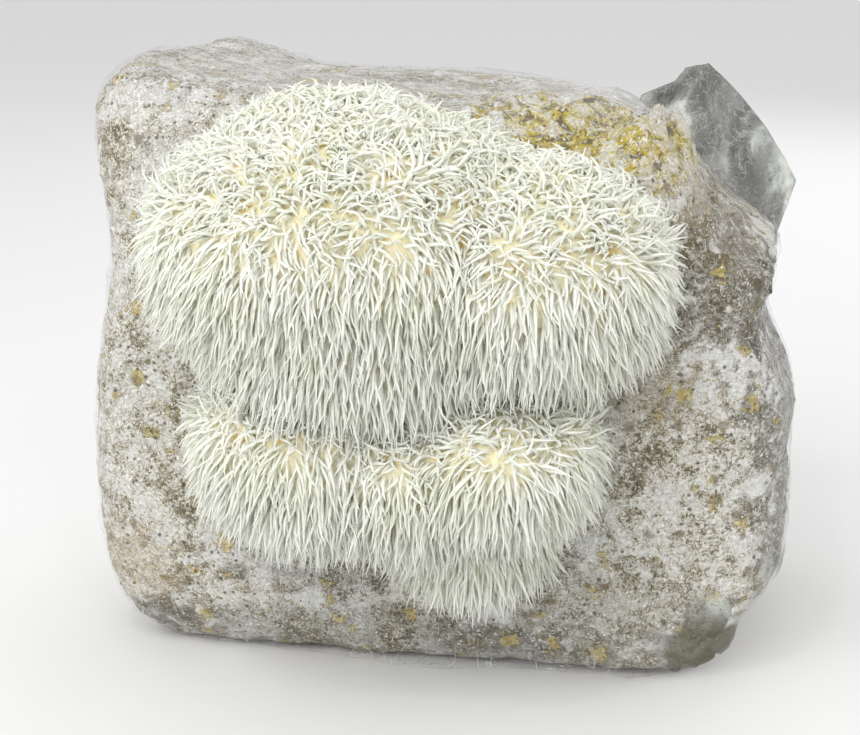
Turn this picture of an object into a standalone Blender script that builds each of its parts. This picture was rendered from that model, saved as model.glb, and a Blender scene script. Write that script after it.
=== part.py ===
"""A lion's mane mushroom fruiting from the front of a sawdust block in its film bag.

Metres, +Z up. The mushroom faces -Y and +X is to the right of someone who faces it.
The block's own middle is at x = 0, y = 0 while the shapes are made. At the end an empty
moves everything so that the world origin is under the middle of the whole object.
"""

import math
import random

import bmesh
import bpy
from mathutils import Euler, Vector, noise
from mathutils.bvhtree import BVHTree

# Driving dimensions of the filled bag
BLOCK_LEFT, BLOCK_RIGHT = 0.0985, 0.1005
BLOCK_DEPTH = 0.122
BLOCK_HEIGHT = 0.168
FILM = 0.0008
GAP = 0.0003

# How the filled bag departs from a box
SQUARENESS = 8.0
SETTLE = 0.0025
TOP_FALL = 0.015
SHOULDER_DROP = 0.030
SHOULDER_FROM, SHOULDER_TO = 0.45, 0.92
LEFT_PEAK, PEAK_FROM, PEAK_TO = 0.006, -0.55, -0.90
LEFT_WAIST, LEFT_WAIST_HEIGHT, LEFT_WAIST_SPREAD = 0.006, 0.115, 0.040
LEFT_TOP_IN = 0.004
NOTCH, NOTCH_HEIGHT, NOTCH_SPREAD = 0.009, 0.099, 0.017
FOOT_IN_RIGHT, FOOT_IN_FRONT, FOOT_IN_LEFT = 0.017, 0.006, 0.005
FOOT_HEIGHT = 0.034
BACK_SLIM = 0.06
LUMP, LUMP_SPACING = 0.0035, 0.060
DIMPLE, DIMPLE_SPACING = 0.0016, 0.026
CELLS = (12, 7, 11)

# The empty end of the bag, folded down behind the block, and the corner that sticks out
TAIL_THICK = 0.0016
TAIL_BOTTOM = 0.070
TAIL_LEFT = -0.075
TAIL_FACES_BACK = 0.70
EAR_MIDDLE = Vector((0.050, 0.040, 0.105))
EAR_BEARINGS = (-5.0, 88.0)
EAR_PEAK, EAR_SPREAD, EAR_FULLNESS = 53.0, 44.0, 2.0
EAR_REACH, EAR_LEAST = 0.023, 0.002
EAR_STEPS = 2
EAR_WAVE, EAR_WAVES = 0.004, 5.0
FLAP_CENTRE = Vector((0.074, -0.054, 0.012))
FLAP_RADIUS = 0.014
FLAP_OUT = Vector((0.005, -0.003, -0.001))
FLAP_SHRINK = 0.60
FLAP_LIFT = 0.0006

# The mushroom: the centre and half sizes of each lobe of flesh, its neck and its spines
LOBES = {
    "crown": ((-0.014, -0.072, 0.125), (0.051, 0.046, 0.034)),
    "crown_top": ((-0.014, -0.068, 0.141), (0.035, 0.030, 0.022)),
    "apron": ((-0.012, -0.077, 0.103), (0.037, 0.040, 0.022)),
    "right": ((0.033, -0.070, 0.123), (0.032, 0.040, 0.028)),
    "waist": ((0.000, -0.070, 0.088), (0.040, 0.026, 0.022)),
    "lower_left": ((-0.023, -0.072, 0.069), (0.031, 0.033, 0.022)),
    "lower_right": ((0.025, -0.074, 0.073), (0.023, 0.032, 0.018)),
    "bottom": ((0.019, -0.070, 0.054), (0.021, 0.026, 0.015)),
}
LOBE_CELL = 0.0089
LOBE_GRAIN = Euler((0.55, 0.45, 0.65))
LOBE_CLEAR = 0.0005
NECK_CENTRE = Vector((0.004, -0.068, 0.102))
NECK_HALF = (0.030, 0.024)
NECK_LENGTH = 0.036
NECK_SIDES = 24
SPINE_TOP, SPINE_SIDE, SPINE_UNDER = 0.007, 0.011, 0.016
SPINE_LEAST = 0.0025
LEAST_ROOT = 0.35
SPINE_WAIST = 0.62
SPINE_ROOM = 0.85
SPINE_CLEAR = 0.0012
SPINE_MOST_BACKWARD = 0.30
SPINE_VARIES = 0.15
SEED = 7
DOWN = Vector((0.0, 0.0, -1.0))

COLLECTION = "lions_mane_on_block"


def smooth_step(low, high, value):
    t = min(1.0, max(0.0, (value - low) / (high - low)))
    return t * t * (3.0 - 2.0 * t)


def bump(centre, half_width, value):
    """One at the centre, falling smoothly to nothing half_width away."""
    return 1.0 - smooth_step(0.0, half_width, abs(value - centre))


def clear_scene():
    for obj in list(bpy.data.objects):
        bpy.data.objects.remove(obj, do_unlink=True)


def new_collection(name, hidden=False):
    collection = bpy.data.collections.new(name)
    collection.hide_render = hidden
    bpy.context.scene.collection.children.link(collection)
    return collection


def material(name, colour, roughness, alpha=1.0):
    made = bpy.data.materials.new(name)
    made.use_nodes = True
    shader = made.node_tree.nodes["Principled BSDF"]
    shader.inputs["Base Color"].default_value = (*colour, 1.0)
    shader.inputs["Roughness"].default_value = roughness
    shader.inputs["Metallic"].default_value = 0.0
    shader.inputs["Alpha"].default_value = alpha
    return made


def new_object(name, mesh, collection, made_of=None):
    obj = bpy.data.objects.new(name, mesh)
    collection.objects.link(obj)
    if made_of:
        mesh.materials.clear()
        mesh.materials.append(made_of)
    return obj


def mesh_from(bm, name):
    bmesh.ops.triangulate(bm, faces=bm.faces, quad_method="FIXED")
    mesh = bpy.data.meshes.new(name)
    bm.to_mesh(mesh)
    bm.free()
    return mesh


def applied(obj):
    """The object's mesh with its modifiers worked out, as an object in its place."""
    graph = bpy.context.evaluated_depsgraph_get()
    mesh = bpy.data.meshes.new_from_object(obj.evaluated_get(graph))
    obj.modifiers.clear()
    obj.data = mesh
    return obj


def boolean(obj, operation, other):
    modifier = obj.modifiers.new(other.name, "BOOLEAN")
    modifier.operation = operation
    modifier.object = other


def bag_height(u):
    """Height of the filled bag at u, from -1 at its left end to 1 at its right end."""
    height = BLOCK_HEIGHT - TOP_FALL * (u + 1.0) / 2.0
    height += LEFT_PEAK * smooth_step(PEAK_FROM, PEAK_TO, u)
    return height - SHOULDER_DROP * smooth_step(SHOULDER_FROM, SHOULDER_TO, u)


def bag_point(cube_point):
    """The place on the bag's outside of a point on the surface of the cube from -1 to 1."""
    norm = sum(abs(c) ** SQUARENESS for c in cube_point) ** (1.0 / SQUARENESS)
    u, v, w = (c / norm for c in cube_point)
    z = (w + 1.0) / 2.0 * bag_height(u) - SETTLE
    side = 1.0 - BACK_SLIM * smooth_step(-0.2, 1.0, v)
    foot = smooth_step(FOOT_HEIGHT, 0.0, z)
    if u < 0.0:
        inwards = LEFT_WAIST * bump(LEFT_WAIST_HEIGHT, LEFT_WAIST_SPREAD, z)
        inwards += LEFT_TOP_IN * smooth_step(LEFT_WAIST_HEIGHT, BLOCK_HEIGHT, z)
        x = u * side * BLOCK_LEFT + u * u * (inwards + FOOT_IN_LEFT * foot)
    else:
        inwards = NOTCH * bump(NOTCH_HEIGHT, NOTCH_SPREAD, z) + FOOT_IN_RIGHT * foot
        x = u * side * BLOCK_RIGHT - u * u * inwards
    y = v * BLOCK_DEPTH / 2.0
    if v < 0.0:
        y += FOOT_IN_FRONT * v * v * foot * (1.3 - u) / 2.0
    place = Vector((x, y, z))
    outward = Vector((u, v, w)).normalized()
    grown = smooth_step(0.0, 0.020, z)
    grown *= LUMP * noise.noise(place / LUMP_SPACING) + DIMPLE * noise.noise(place / DIMPLE_SPACING)
    place += outward * grown
    place.z = max(0.0, place.z)
    return place


def bag_skin(in_triangles=True):
    """The outside of the filled bag as one closed mesh."""
    bm = bmesh.new()
    bmesh.ops.create_cube(bm, size=2.0)
    for axis, cells in enumerate(CELLS):
        normal = Vector((0.0, 0.0, 0.0))
        normal[axis] = 1.0
        for step in range(1, cells):
            t = 2.0 * step / cells - 1.0
            at = normal * (0.55 * t + 0.45 * math.sin(t * math.pi / 2.0))
            geometry = bm.verts[:] + bm.edges[:] + bm.faces[:]
            bmesh.ops.bisect_plane(bm, geom=geometry, plane_co=at, plane_no=normal)
    for vert in bm.verts:
        vert.co = bag_point(vert.co)
    bmesh.ops.recalc_face_normals(bm, faces=bm.faces)
    if in_triangles:
        bmesh.ops.triangulate(bm, faces=bm.faces, quad_method="FIXED")
    return bm


def moved_along_normals(bm, distance):
    bm.normal_update()
    places = [vert.co + vert.normal * distance for vert in bm.verts]
    for vert, place in zip(bm.verts, places):
        vert.co = place
        vert.co.z = max(0.0, place.z) if distance > 0.0 else place.z


def offset_skin(distance):
    bm = bag_skin()
    moved_along_normals(bm, distance)
    return bm


def pulled_out(bm, faces):
    """Extrudes the faces as one sheet and gives the faces at its end."""
    made = bmesh.ops.extrude_face_region(bm, geom=faces)["geom"]
    bmesh.ops.delete(bm, geom=faces, context="FACES_ONLY")
    bm.normal_update()
    return [item for item in made if isinstance(item, bmesh.types.BMFace)]


def verts_of(faces):
    return {vert for face in faces for vert in face.verts}


def raise_tail(bm):
    """Thickens the back of the film where the bag's empty end is folded down on it."""
    back = []
    for face in bm.faces:
        centre = face.calc_center_median()
        if face.normal.y > TAIL_FACES_BACK and centre.z > TAIL_BOTTOM and centre.x > TAIL_LEFT:
            back.append(face)
    tail = pulled_out(bm, back)
    for vert in verts_of(tail):
        vert.co += vert.normal.lerp(Vector((0.0, 1.0, 0.0)), 0.5).normalized() * TAIL_THICK
    bm.normal_update()
    return tail


def grow_ear(bm, tail):
    """Carries the tail's edge out past the block's top right corner as a loose crescent."""
    rim = []
    for edge in {edge for face in tail for edge in face.edges}:
        walls = [face for face in edge.link_faces if face not in tail]
        middle = (edge.verts[0].co + edge.verts[1].co) / 2.0 - EAR_MIDDLE
        bearing = math.degrees(math.atan2(middle.z, middle.x))
        if walls and EAR_BEARINGS[0] < bearing < EAR_BEARINGS[1]:
            rim.append(walls[0])
    for share in (1.0 / EAR_STEPS,) * EAR_STEPS:
        rim = pulled_out(bm, rim)
        for vert in verts_of(rim):
            away = vert.co - EAR_MIDDLE
            away.y = 0.0
            bearing = math.degrees(math.atan2(away.z, away.x))
            fullness = min(1.0, EAR_FULLNESS * bump(EAR_PEAK, EAR_SPREAD, bearing))
            reach = EAR_LEAST + EAR_REACH * fullness
            vert.co += away.normalized() * reach * share
            vert.co.y += EAR_WAVE * math.sin(math.radians(bearing) * EAR_WAVES) * share


def grow_flap(bm):
    """Pushes out the small folded flap of the gusset at the lower right corner."""
    picked = []
    for face in bm.faces:
        near = (face.calc_center_median() - FLAP_CENTRE).length < FLAP_RADIUS
        if near and face.normal.z > -0.6:
            picked.append(face)
    verts = verts_of(pulled_out(bm, picked))
    centre = sum((vert.co for vert in verts), Vector()) / len(verts)
    for vert in verts:
        vert.co = centre.lerp(vert.co, FLAP_SHRINK) + FLAP_OUT
        vert.co.z = max(FLAP_LIFT, vert.co.z)


def make_grow_bag(parts, made_of, opening):
    bm = bag_skin(in_triangles=False)
    grow_flap(bm)
    grow_ear(bm, raise_tail(bm))
    bmesh.ops.triangulate(bm, faces=bm.faces, quad_method="FIXED")
    inner = offset_skin(-FILM)
    bmesh.ops.reverse_faces(inner, faces=inner.faces)
    bm.from_mesh(mesh_from(inner, "film_inside"))
    bag = new_object("grow_bag", mesh_from(bm, "grow_bag"), parts, made_of)
    boolean(bag, "DIFFERENCE", opening)
    return bag


def make_substrate(parts, made_of):
    bm = offset_skin(-FILM - GAP)
    return new_object("substrate_block", mesh_from(bm, "substrate_block"), parts, made_of)


def cylinder_along_y(name, centre, half_sizes, length, collection):
    bpy.ops.mesh.primitive_cylinder_add(vertices=NECK_SIDES, radius=1.0, depth=length)
    obj = bpy.context.object
    obj.name = name
    for vert in obj.data.vertices:
        x, y, z = vert.co
        vert.co = centre + Vector((x * half_sizes[0], z, -y * half_sizes[1]))
    for held in obj.users_collection:
        held.objects.unlink(obj)
    collection.objects.link(obj)
    return obj


def make_flesh(cutters):
    """The lobes as one body, cut off just in front of the bag, with the neck through the bag."""
    bm = bmesh.new()
    for centre, half_sizes in LOBES.values():
        made = bmesh.ops.create_uvsphere(bm, u_segments=24, v_segments=16, radius=1.0)
        for vert in made["verts"]:
            vert.co = Vector(c * h for c, h in zip(vert.co, half_sizes)) + Vector(centre)
    grain = LOBE_GRAIN.to_matrix().to_4x4()
    bm.transform(grain)
    flesh = new_object("flesh", mesh_from(bm, "flesh"), cutters)
    remesh = flesh.modifiers.new("one body", "REMESH")
    remesh.mode = "VOXEL"
    remesh.voxel_size = LOBE_CELL
    soften = flesh.modifiers.new("soften", "SMOOTH")
    soften.iterations = 2
    applied(flesh).data.transform(grain.inverted())
    outside = new_object("bag_outside", mesh_from(offset_skin(LOBE_CLEAR), "bag_outside"), cutters)
    inside = new_object("bag_inside", mesh_from(offset_skin(-FILM), "bag_inside"), cutters)
    neck = cylinder_along_y("neck", NECK_CENTRE, NECK_HALF, NECK_LENGTH, cutters)
    boolean(flesh, "DIFFERENCE", outside)
    boolean(flesh, "UNION", neck)
    boolean(flesh, "DIFFERENCE", inside)
    return applied(flesh)


def spine_length(normal):
    if normal.z > 0.0:
        return SPINE_SIDE + (SPINE_TOP - SPINE_SIDE) * smooth_step(0.1, 0.8, normal.z)
    return SPINE_SIDE + (SPINE_UNDER - SPINE_SIDE) * smooth_step(0.0, 0.5, -normal.z)


def clear_of_bag(bag_tree, place):
    nearest, normal, _, distance = bag_tree.find_nearest(place)
    return (place - nearest).dot(normal) > 0.0 and distance > SPINE_CLEAR


def grow_spines(bm, bag_tree):
    """Draws one tapered spine out of each whole face of the lobes, bending down at its waist."""
    bm.normal_update()
    flesh_tree = BVHTree.FromBMesh(bm)
    draw = random.Random(SEED)
    roots = []
    for face in bm.faces:
        whole = len(face.verts) == 4 and face.calc_area() > LEAST_ROOT * LOBE_CELL ** 2
        if whole and face.normal.y < SPINE_MOST_BACKWARD:
            roots.append(face)
    roots.sort(key=lambda face: tuple(round(c, 5) for c in face.calc_center_median()))
    for face in roots:
        normal = face.normal.copy()
        centre = face.calc_center_median()
        first = (normal + DOWN * 0.15).normalized()
        second = (normal * 0.38 + DOWN).normalized()
        length = spine_length(normal) * draw.uniform(1.0 - SPINE_VARIES, 1.0 + SPINE_VARIES)
        for way in (first, second):
            hit = flesh_tree.ray_cast(centre + way * 0.0015, way, length / SPINE_ROOM)
            if hit[0]:
                length = min(length, SPINE_ROOM * hit[3])
        waist = centre + first * length * 0.45
        tip = waist + second * length * 0.55
        if length < SPINE_LEAST or not (clear_of_bag(bag_tree, waist) and clear_of_bag(bag_tree, tip)):
            continue
        end = bmesh.ops.extrude_discrete_faces(bm, faces=[face])["faces"][0]
        for vert in end.verts:
            vert.co = waist + (vert.co - centre) * SPINE_WAIST
        point = bmesh.ops.poke(bm, faces=[end])["verts"][0]
        point.co = tip


def make_mushroom(parts, cutters, made_of):
    flesh = make_flesh(cutters)
    bm = bmesh.new()
    bm.from_mesh(flesh.data)
    bag_bm = offset_skin(0.0)
    bag_tree = BVHTree.FromBMesh(bag_bm)
    bag_bm.free()
    grow_spines(bm, bag_tree)
    bpy.data.objects.remove(flesh)
    return new_object("mushroom", mesh_from(bm, "mushroom"), parts, made_of)


def shade(obj, sharp_degrees):
    obj.data.shade_smooth()
    obj.data.set_sharp_from_angle(angle=math.radians(sharp_degrees))


def stand_on_origin(parts, helpers):
    """Puts the world origin under the middle of the whole object's box."""
    bpy.context.view_layer.update()
    graph = bpy.context.evaluated_depsgraph_get()
    corners = []
    for obj in parts:
        corners += [Vector(corner) for corner in obj.evaluated_get(graph).bound_box]
    low = Vector(min(c[i] for c in corners) for i in range(3))
    high = Vector(max(c[i] for c in corners) for i in range(3))
    root = bpy.data.objects.new("placement", None)
    bpy.data.collections[COLLECTION].objects.link(root)
    root.location = (-(low.x + high.x) / 2.0, -(low.y + high.y) / 2.0, -low.z)
    for obj in parts + helpers:
        obj.parent = root


def main():
    clear_scene()
    parts = new_collection(COLLECTION)
    cutters = new_collection("cutters", hidden=True)
    film = material("clear film", (0.60, 0.59, 0.52), 0.22, alpha=0.5)
    sawdust = material("white-run sawdust", (0.52, 0.49, 0.41), 0.85)
    flesh = material("ivory spines", (0.78, 0.78, 0.62), 0.55)
    opening_half = tuple(half + 0.0006 for half in NECK_HALF)
    opening = cylinder_along_y("neck_opening", NECK_CENTRE, opening_half, NECK_LENGTH, cutters)
    bag = make_grow_bag(parts, film, opening)
    substrate = make_substrate(parts, sawdust)
    mushroom = make_mushroom(parts, cutters, flesh)
    shade(bag, 50.0)
    shade(substrate, 50.0)
    shade(mushroom, 60.0)
    helpers = list(cutters.objects)
    for obj in helpers:
        obj.hide_render = True
        obj.display_type = "WIRE"
    stand_on_origin([bag, substrate, mushroom], helpers)


main()
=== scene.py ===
"""Looks of a lion's mane mushroom on its bagged sawdust block.

Laid out as an add-on and run as a script. Metres, +Z up, the mushroom faces -Y.
"""

import math
import random

import bmesh
import bpy
from mathutils import Euler, Matrix, Vector, noise
from mathutils.bvhtree import BVHTree


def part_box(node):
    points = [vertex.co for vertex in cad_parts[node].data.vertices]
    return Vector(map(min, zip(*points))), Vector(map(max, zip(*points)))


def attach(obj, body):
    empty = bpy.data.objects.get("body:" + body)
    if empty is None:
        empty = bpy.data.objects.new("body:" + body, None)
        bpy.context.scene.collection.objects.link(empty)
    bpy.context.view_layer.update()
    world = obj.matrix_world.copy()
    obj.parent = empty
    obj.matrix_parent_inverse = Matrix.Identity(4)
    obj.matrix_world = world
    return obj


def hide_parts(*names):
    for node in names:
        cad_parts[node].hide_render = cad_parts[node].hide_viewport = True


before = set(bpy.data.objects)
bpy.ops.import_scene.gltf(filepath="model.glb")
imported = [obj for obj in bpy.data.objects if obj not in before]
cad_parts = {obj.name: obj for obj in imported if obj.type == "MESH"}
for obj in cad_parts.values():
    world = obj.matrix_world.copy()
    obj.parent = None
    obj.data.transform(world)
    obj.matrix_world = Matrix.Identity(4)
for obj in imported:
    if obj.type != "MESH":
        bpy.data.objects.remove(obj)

bl_info = {
    "name": "Lion's Mane on a Fruiting Block",
    "version": (1, 0, 0),
    "blender": (4, 5, 0),
    "location": "3D View > Sidebar > Mushroom",
    "description": "Dresses a bagged sawdust block and the spiny mushroom that grows from it",
    "category": "Object",
}

MM = 0.001
DOWN = Vector((0.0, 0.0, -1.0))
BODY = "root"
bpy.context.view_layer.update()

# The block's middle on the surface it stands on, and its sizes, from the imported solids
BLOCK_LOW, BLOCK_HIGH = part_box("substrate_block")
MIDDLE = Vector(((BLOCK_LOW.x + BLOCK_HIGH.x) / 2.0, (BLOCK_LOW.y + BLOCK_HIGH.y) / 2.0, 0.0))

# Lobes of flesh under the spines: centre from MIDDLE and half sizes
LOBES = {
    "crown": ((-0.015, -0.072, 0.125), (0.053, 0.046, 0.034)),
    "crown_top": ((-0.020, -0.068, 0.140), (0.034, 0.030, 0.022)),
    "apron": ((-0.012, -0.075, 0.105), (0.040, 0.038, 0.023)),
    "right": ((0.028, -0.070, 0.119), (0.037, 0.040, 0.028)),
    "waist": ((0.000, -0.070, 0.088), (0.040, 0.026, 0.022)),
    "lower_left": ((-0.025, -0.072, 0.073), (0.032, 0.033, 0.024)),
    "lower_right": ((0.025, -0.074, 0.073), (0.023, 0.032, 0.018)),
    "bottom": ((0.016, -0.064, 0.048), (0.021, 0.024, 0.014)),
    "lower_middle": ((0.001, -0.072, 0.069), (0.030, 0.031, 0.020)),
}
NECK = ((0.004, -0.068, 0.102), (0.030, 0.017, 0.024))
LOBE_CELL = 2.4 * MM
SPINE_PIECES = {
    "crown_spines": ("crown",),
    "crown_top_spines": ("crown_top",),
    "apron_spines": ("apron", "waist"),
    "right_lobe_spines": ("right",),
    "lower_left_spines": ("lower_left",),
    "lower_right_spines": ("lower_right", "bottom", "lower_middle"),
}

# The photograph's view: bearings of the camera from the block, its distance and its lens
CAMERA_AZIMUTH, CAMERA_ELEVATION = math.radians(10.0), math.radians(14.0)
CAMERA_DISTANCE = 0.60
CAMERA_TARGET = Vector((-0.0079, 0.0, 0.0735))
PICTURE_WIDTH, FOCAL_PIXELS, SENSOR = 860, 2000.0, 36.0


def srgb(red, green, blue):
    """Linear colour, with alpha 1, of a colour given as it looks on a screen, 0 to 255."""
    def one(value):
        value /= 255.0
        return value / 12.92 if value <= 0.04045 else ((value + 0.055) / 1.055) ** 2.4
    return (one(red), one(green), one(blue), 1.0)


def smooth_step(low, high, value):
    t = min(1.0, max(0.0, (value - low) / (high - low)))
    return t * t * (3.0 - 2.0 * t)


class Nodes:
    """Adds nodes to one tree and wires them, so that a tree reads like its formula."""

    def __init__(self, tree):
        self.tree = tree

    def add(self, kind, inputs=None, **settings):
        node = self.tree.nodes.new(kind)
        for name, value in settings.items():
            setattr(node, name, value)
        for key, value in (inputs or {}).items():
            self.put(node.inputs[key], value)
        return node

    def put(self, socket, value):
        if isinstance(value, bpy.types.Node):
            value = next(out for out in value.outputs if out.enabled)
        if isinstance(value, bpy.types.NodeSocket):
            self.tree.links.new(value, socket)
        else:
            socket.default_value = value

    def math(self, operation, first, second=0.0, third=0.0, clamp=False):
        inputs = {0: first, 1: second, 2: third}
        node = self.add("ShaderNodeMath", inputs, operation=operation, use_clamp=clamp)
        return node.outputs[0]

    def vector(self, operation, first, second=(0.0, 0.0, 0.0)):
        node = self.add("ShaderNodeVectorMath", {0: first, 1: second}, operation=operation)
        return node.outputs["Value" if operation in ("LENGTH", "DOT_PRODUCT") else "Vector"]

    def scaled(self, vector, scale):
        node = self.add("ShaderNodeVectorMath", {0: vector, "Scale": scale}, operation="SCALE")
        return node.outputs["Vector"]

    def ranged(self, value, low, high, to_low=0.0, to_high=1.0, smooth=True):
        inputs = {"Value": value, "From Min": low, "From Max": high}
        inputs.update({"To Min": to_low, "To Max": to_high})
        kind = "SMOOTHSTEP" if smooth else "LINEAR"
        node = self.add("ShaderNodeMapRange", inputs, interpolation_type=kind)
        return node.outputs["Result"]

    def mixed(self, factor, first, second, blend="MIX"):
        node = self.add("ShaderNodeMix", data_type="RGBA", blend_type=blend)
        self.put(node.inputs["Factor"], factor)
        self.put(node.inputs[6], first)
        self.put(node.inputs[7], second)
        return node.outputs[2]

    def noise(self, coordinates, size, detail=3.0, roughness=0.55, **more):
        inputs = {"Vector": coordinates, "Scale": 1.0 / size, "Detail": detail}
        inputs["Roughness"] = roughness
        inputs.update(more)
        return self.add("ShaderNodeTexNoise", inputs)

    def cells(self, coordinates, size, feature="F1", **inputs):
        inputs = {"Vector": coordinates, "Scale": 1.0 / size, **inputs}
        return self.add("ShaderNodeTexVoronoi", inputs, feature=feature)

    def ramp(self, value, stops):
        node = self.add("ShaderNodeValToRGB", {0: value})
        band = node.color_ramp
        while len(band.elements) < len(stops):
            band.elements.new(0.5)
        for element, (place, colour) in zip(band.elements, stops):
            element.position = place
            element.color = colour
        return node.outputs["Color"]


def new_material(name):
    """A material with its one Principled shader, and the helper that wires it."""
    material = bpy.data.materials.new(name)
    material.use_nodes = True
    nodes = Nodes(material.node_tree)
    return material, nodes, material.node_tree.nodes["Principled BSDF"]


def object_coordinates(nodes):
    return nodes.add("ShaderNodeTexCoord").outputs["Object"]


def new_piece(name, mesh, material, node):
    """Adds the mesh as a finished piece that rides on the body and stands for the CAD node."""
    piece = bpy.data.objects.new(name, mesh)
    bpy.context.scene.collection.objects.link(piece)
    mesh.materials.clear()
    mesh.materials.append(material)
    mesh.shade_smooth()
    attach(piece, BODY)
    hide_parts(node)
    return piece


def scratch_object(mesh):
    obj = bpy.data.objects.new("scratch", mesh)
    bpy.context.scene.collection.objects.link(obj)
    return obj


def baked_mesh(obj, name):
    """The mesh that the object's modifiers make. The object is removed."""
    graph = bpy.context.evaluated_depsgraph_get()
    mesh = bpy.data.meshes.new_from_object(obj.evaluated_get(graph))
    mesh.name = name
    bpy.data.objects.remove(obj)
    return mesh


def welded_copy(node):
    """A copy of a CAD node's mesh with its loose triangles joined up."""
    bm = bmesh.new()
    bm.from_mesh(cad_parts[node].data)
    bmesh.ops.remove_doubles(bm, verts=bm.verts, dist=0.01 * MM)
    return bm


def mesh_of(bm, name):
    mesh = bpy.data.meshes.new(name)
    bm.to_mesh(mesh)
    bm.free()
    return mesh


def subdivided(cage, levels, name):
    obj = scratch_object(cage.copy())
    modifier = obj.modifiers.new("finer", "SUBSURF")
    modifier.levels = modifier.render_levels = levels
    return baked_mesh(obj, name)


def finer(bm, levels, name):
    """A smooth mesh of a coarse shape, pulled back out to the corners that smoothing rounds off."""
    bmesh.ops.join_triangles(bm, faces=bm.faces, angle_face_threshold=MERGE_ANGLE,
                             angle_shape_threshold=MERGE_ANGLE)
    crease = bm.edges.layers.float.new("crease_edge")
    for edge in bm.edges:
        if len(edge.link_faces) == 2 and edge.calc_face_angle() > SHARP_ANGLE:
            edge[crease] = SHARP_CREASE
    cage = mesh_of(bm, name)
    corners = [vert.co.copy() for vert in cage.vertices]
    for _ in range(PULL_ROUNDS):
        smooth = subdivided(cage, levels, name)
        for vert, corner in zip(cage.vertices, corners):
            vert.co += 0.9 * (corner - smooth.vertices[vert.index].co)
    return subdivided(cage, levels, name)


def nearest_distances(mesh, node):
    """How far each point of the mesh is from the surface of a CAD node."""
    bm = welded_copy(node)
    tree = BVHTree.FromBMesh(bm)
    bm.free()
    return [tree.find_nearest(vert.co)[3] for vert in mesh.vertices]


def moved(mesh, places):
    for vert, place in zip(mesh.vertices, places):
        vert.co = place


MERGE_ANGLE = 3.1
SHARP_ANGLE = math.radians(62.0)
SHARP_CREASE = 0.5
PULL_ROUNDS = 3


def ridge(place, spacing, seed):
    """Thin crests of crumpled film, from 0 to 1."""
    value = noise.noise(place / spacing + Vector((seed, seed, seed)))
    return (1.0 - min(1.0, abs(value) * 2.2)) ** 3


class SpineSettings(bpy.types.PropertyGroup):
    spacing: bpy.props.FloatProperty(
        name="Spacing", description="Least distance between the roots of two spines",
        default=1.02 * MM, min=1.0 * MM, subtype="DISTANCE", unit="LENGTH")
    crown_length: bpy.props.FloatProperty(
        name="Crown length", description="Length of the curled spines on top",
        default=7.2 * MM, subtype="DISTANCE", unit="LENGTH")
    side_length: bpy.props.FloatProperty(
        name="Side length", description="Length of the spines on upright flesh",
        default=7.6 * MM, subtype="DISTANCE", unit="LENGTH")
    fringe_length: bpy.props.FloatProperty(
        name="Fringe length", description="Length of the straight spines that hang below",
        default=10.0 * MM, subtype="DISTANCE", unit="LENGTH")
    thickness: bpy.props.FloatProperty(
        name="Thickness", description="Diameter of a spine at its root",
        default=1.45 * MM, subtype="DISTANCE", unit="LENGTH")
    curl: bpy.props.FloatProperty(
        name="Curl", description="Mean angle by which a spine of the crown turns over",
        default=math.radians(125.0), min=0.1, subtype="ANGLE", unit="ROTATION")
    seed: bpy.props.IntProperty(name="Seed", description="Seed of the spines' places", default=11)
    tip_colour: bpy.props.FloatVectorProperty(
        name="Tip", description="Ivory of the spines' tips", size=4,
        default=srgb(248, 250, 237), subtype="COLOR")
    root_colour: bpy.props.FloatVectorProperty(
        name="Root", description="Straw colour between the spines", size=4,
        default=srgb(248, 240, 206), subtype="COLOR")


class BlockSettings(bpy.types.PropertyGroup):
    mycelium: bpy.props.FloatVectorProperty(
        name="Mycelium", description="White of the threads that run through the block", size=4,
        default=srgb(246, 242, 230), subtype="COLOR")
    sawdust: bpy.props.FloatVectorProperty(
        name="Sawdust", description="Colour of wood that shows through", size=4,
        default=srgb(150, 141, 108), subtype="COLOR")
    ochre: bpy.props.FloatVectorProperty(
        name="Ochre", description="Colour of the yellowed patches", size=4,
        default=srgb(198, 172, 60), subtype="COLOR")


class FilmSettings(bpy.types.PropertyGroup):
    stand_off: bpy.props.FloatProperty(
        name="Stand-off", description="Distance of the film from the block",
        default=0.75 * MM, subtype="DISTANCE", unit="LENGTH")
    crease: bpy.props.FloatProperty(
        name="Crease", description="Height of the film's fine creases",
        default=0.6 * MM, subtype="DISTANCE", unit="LENGTH")
    milk: bpy.props.FloatVectorProperty(
        name="Milkiness", description="Colour of the film where it is folded or creased", size=4,
        default=srgb(172, 170, 172), subtype="COLOR")


class StageSettings(bpy.types.PropertyGroup):
    key_power: bpy.props.FloatProperty(
        name="Key light", description="Power of the soft light from the upper left",
        default=5.5, subtype="POWER", unit="POWER")
    floor_colour: bpy.props.FloatVectorProperty(
        name="Floor", description="Colour of the plain floor", size=4,
        default=srgb(240, 240, 240), subtype="COLOR")


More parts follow.
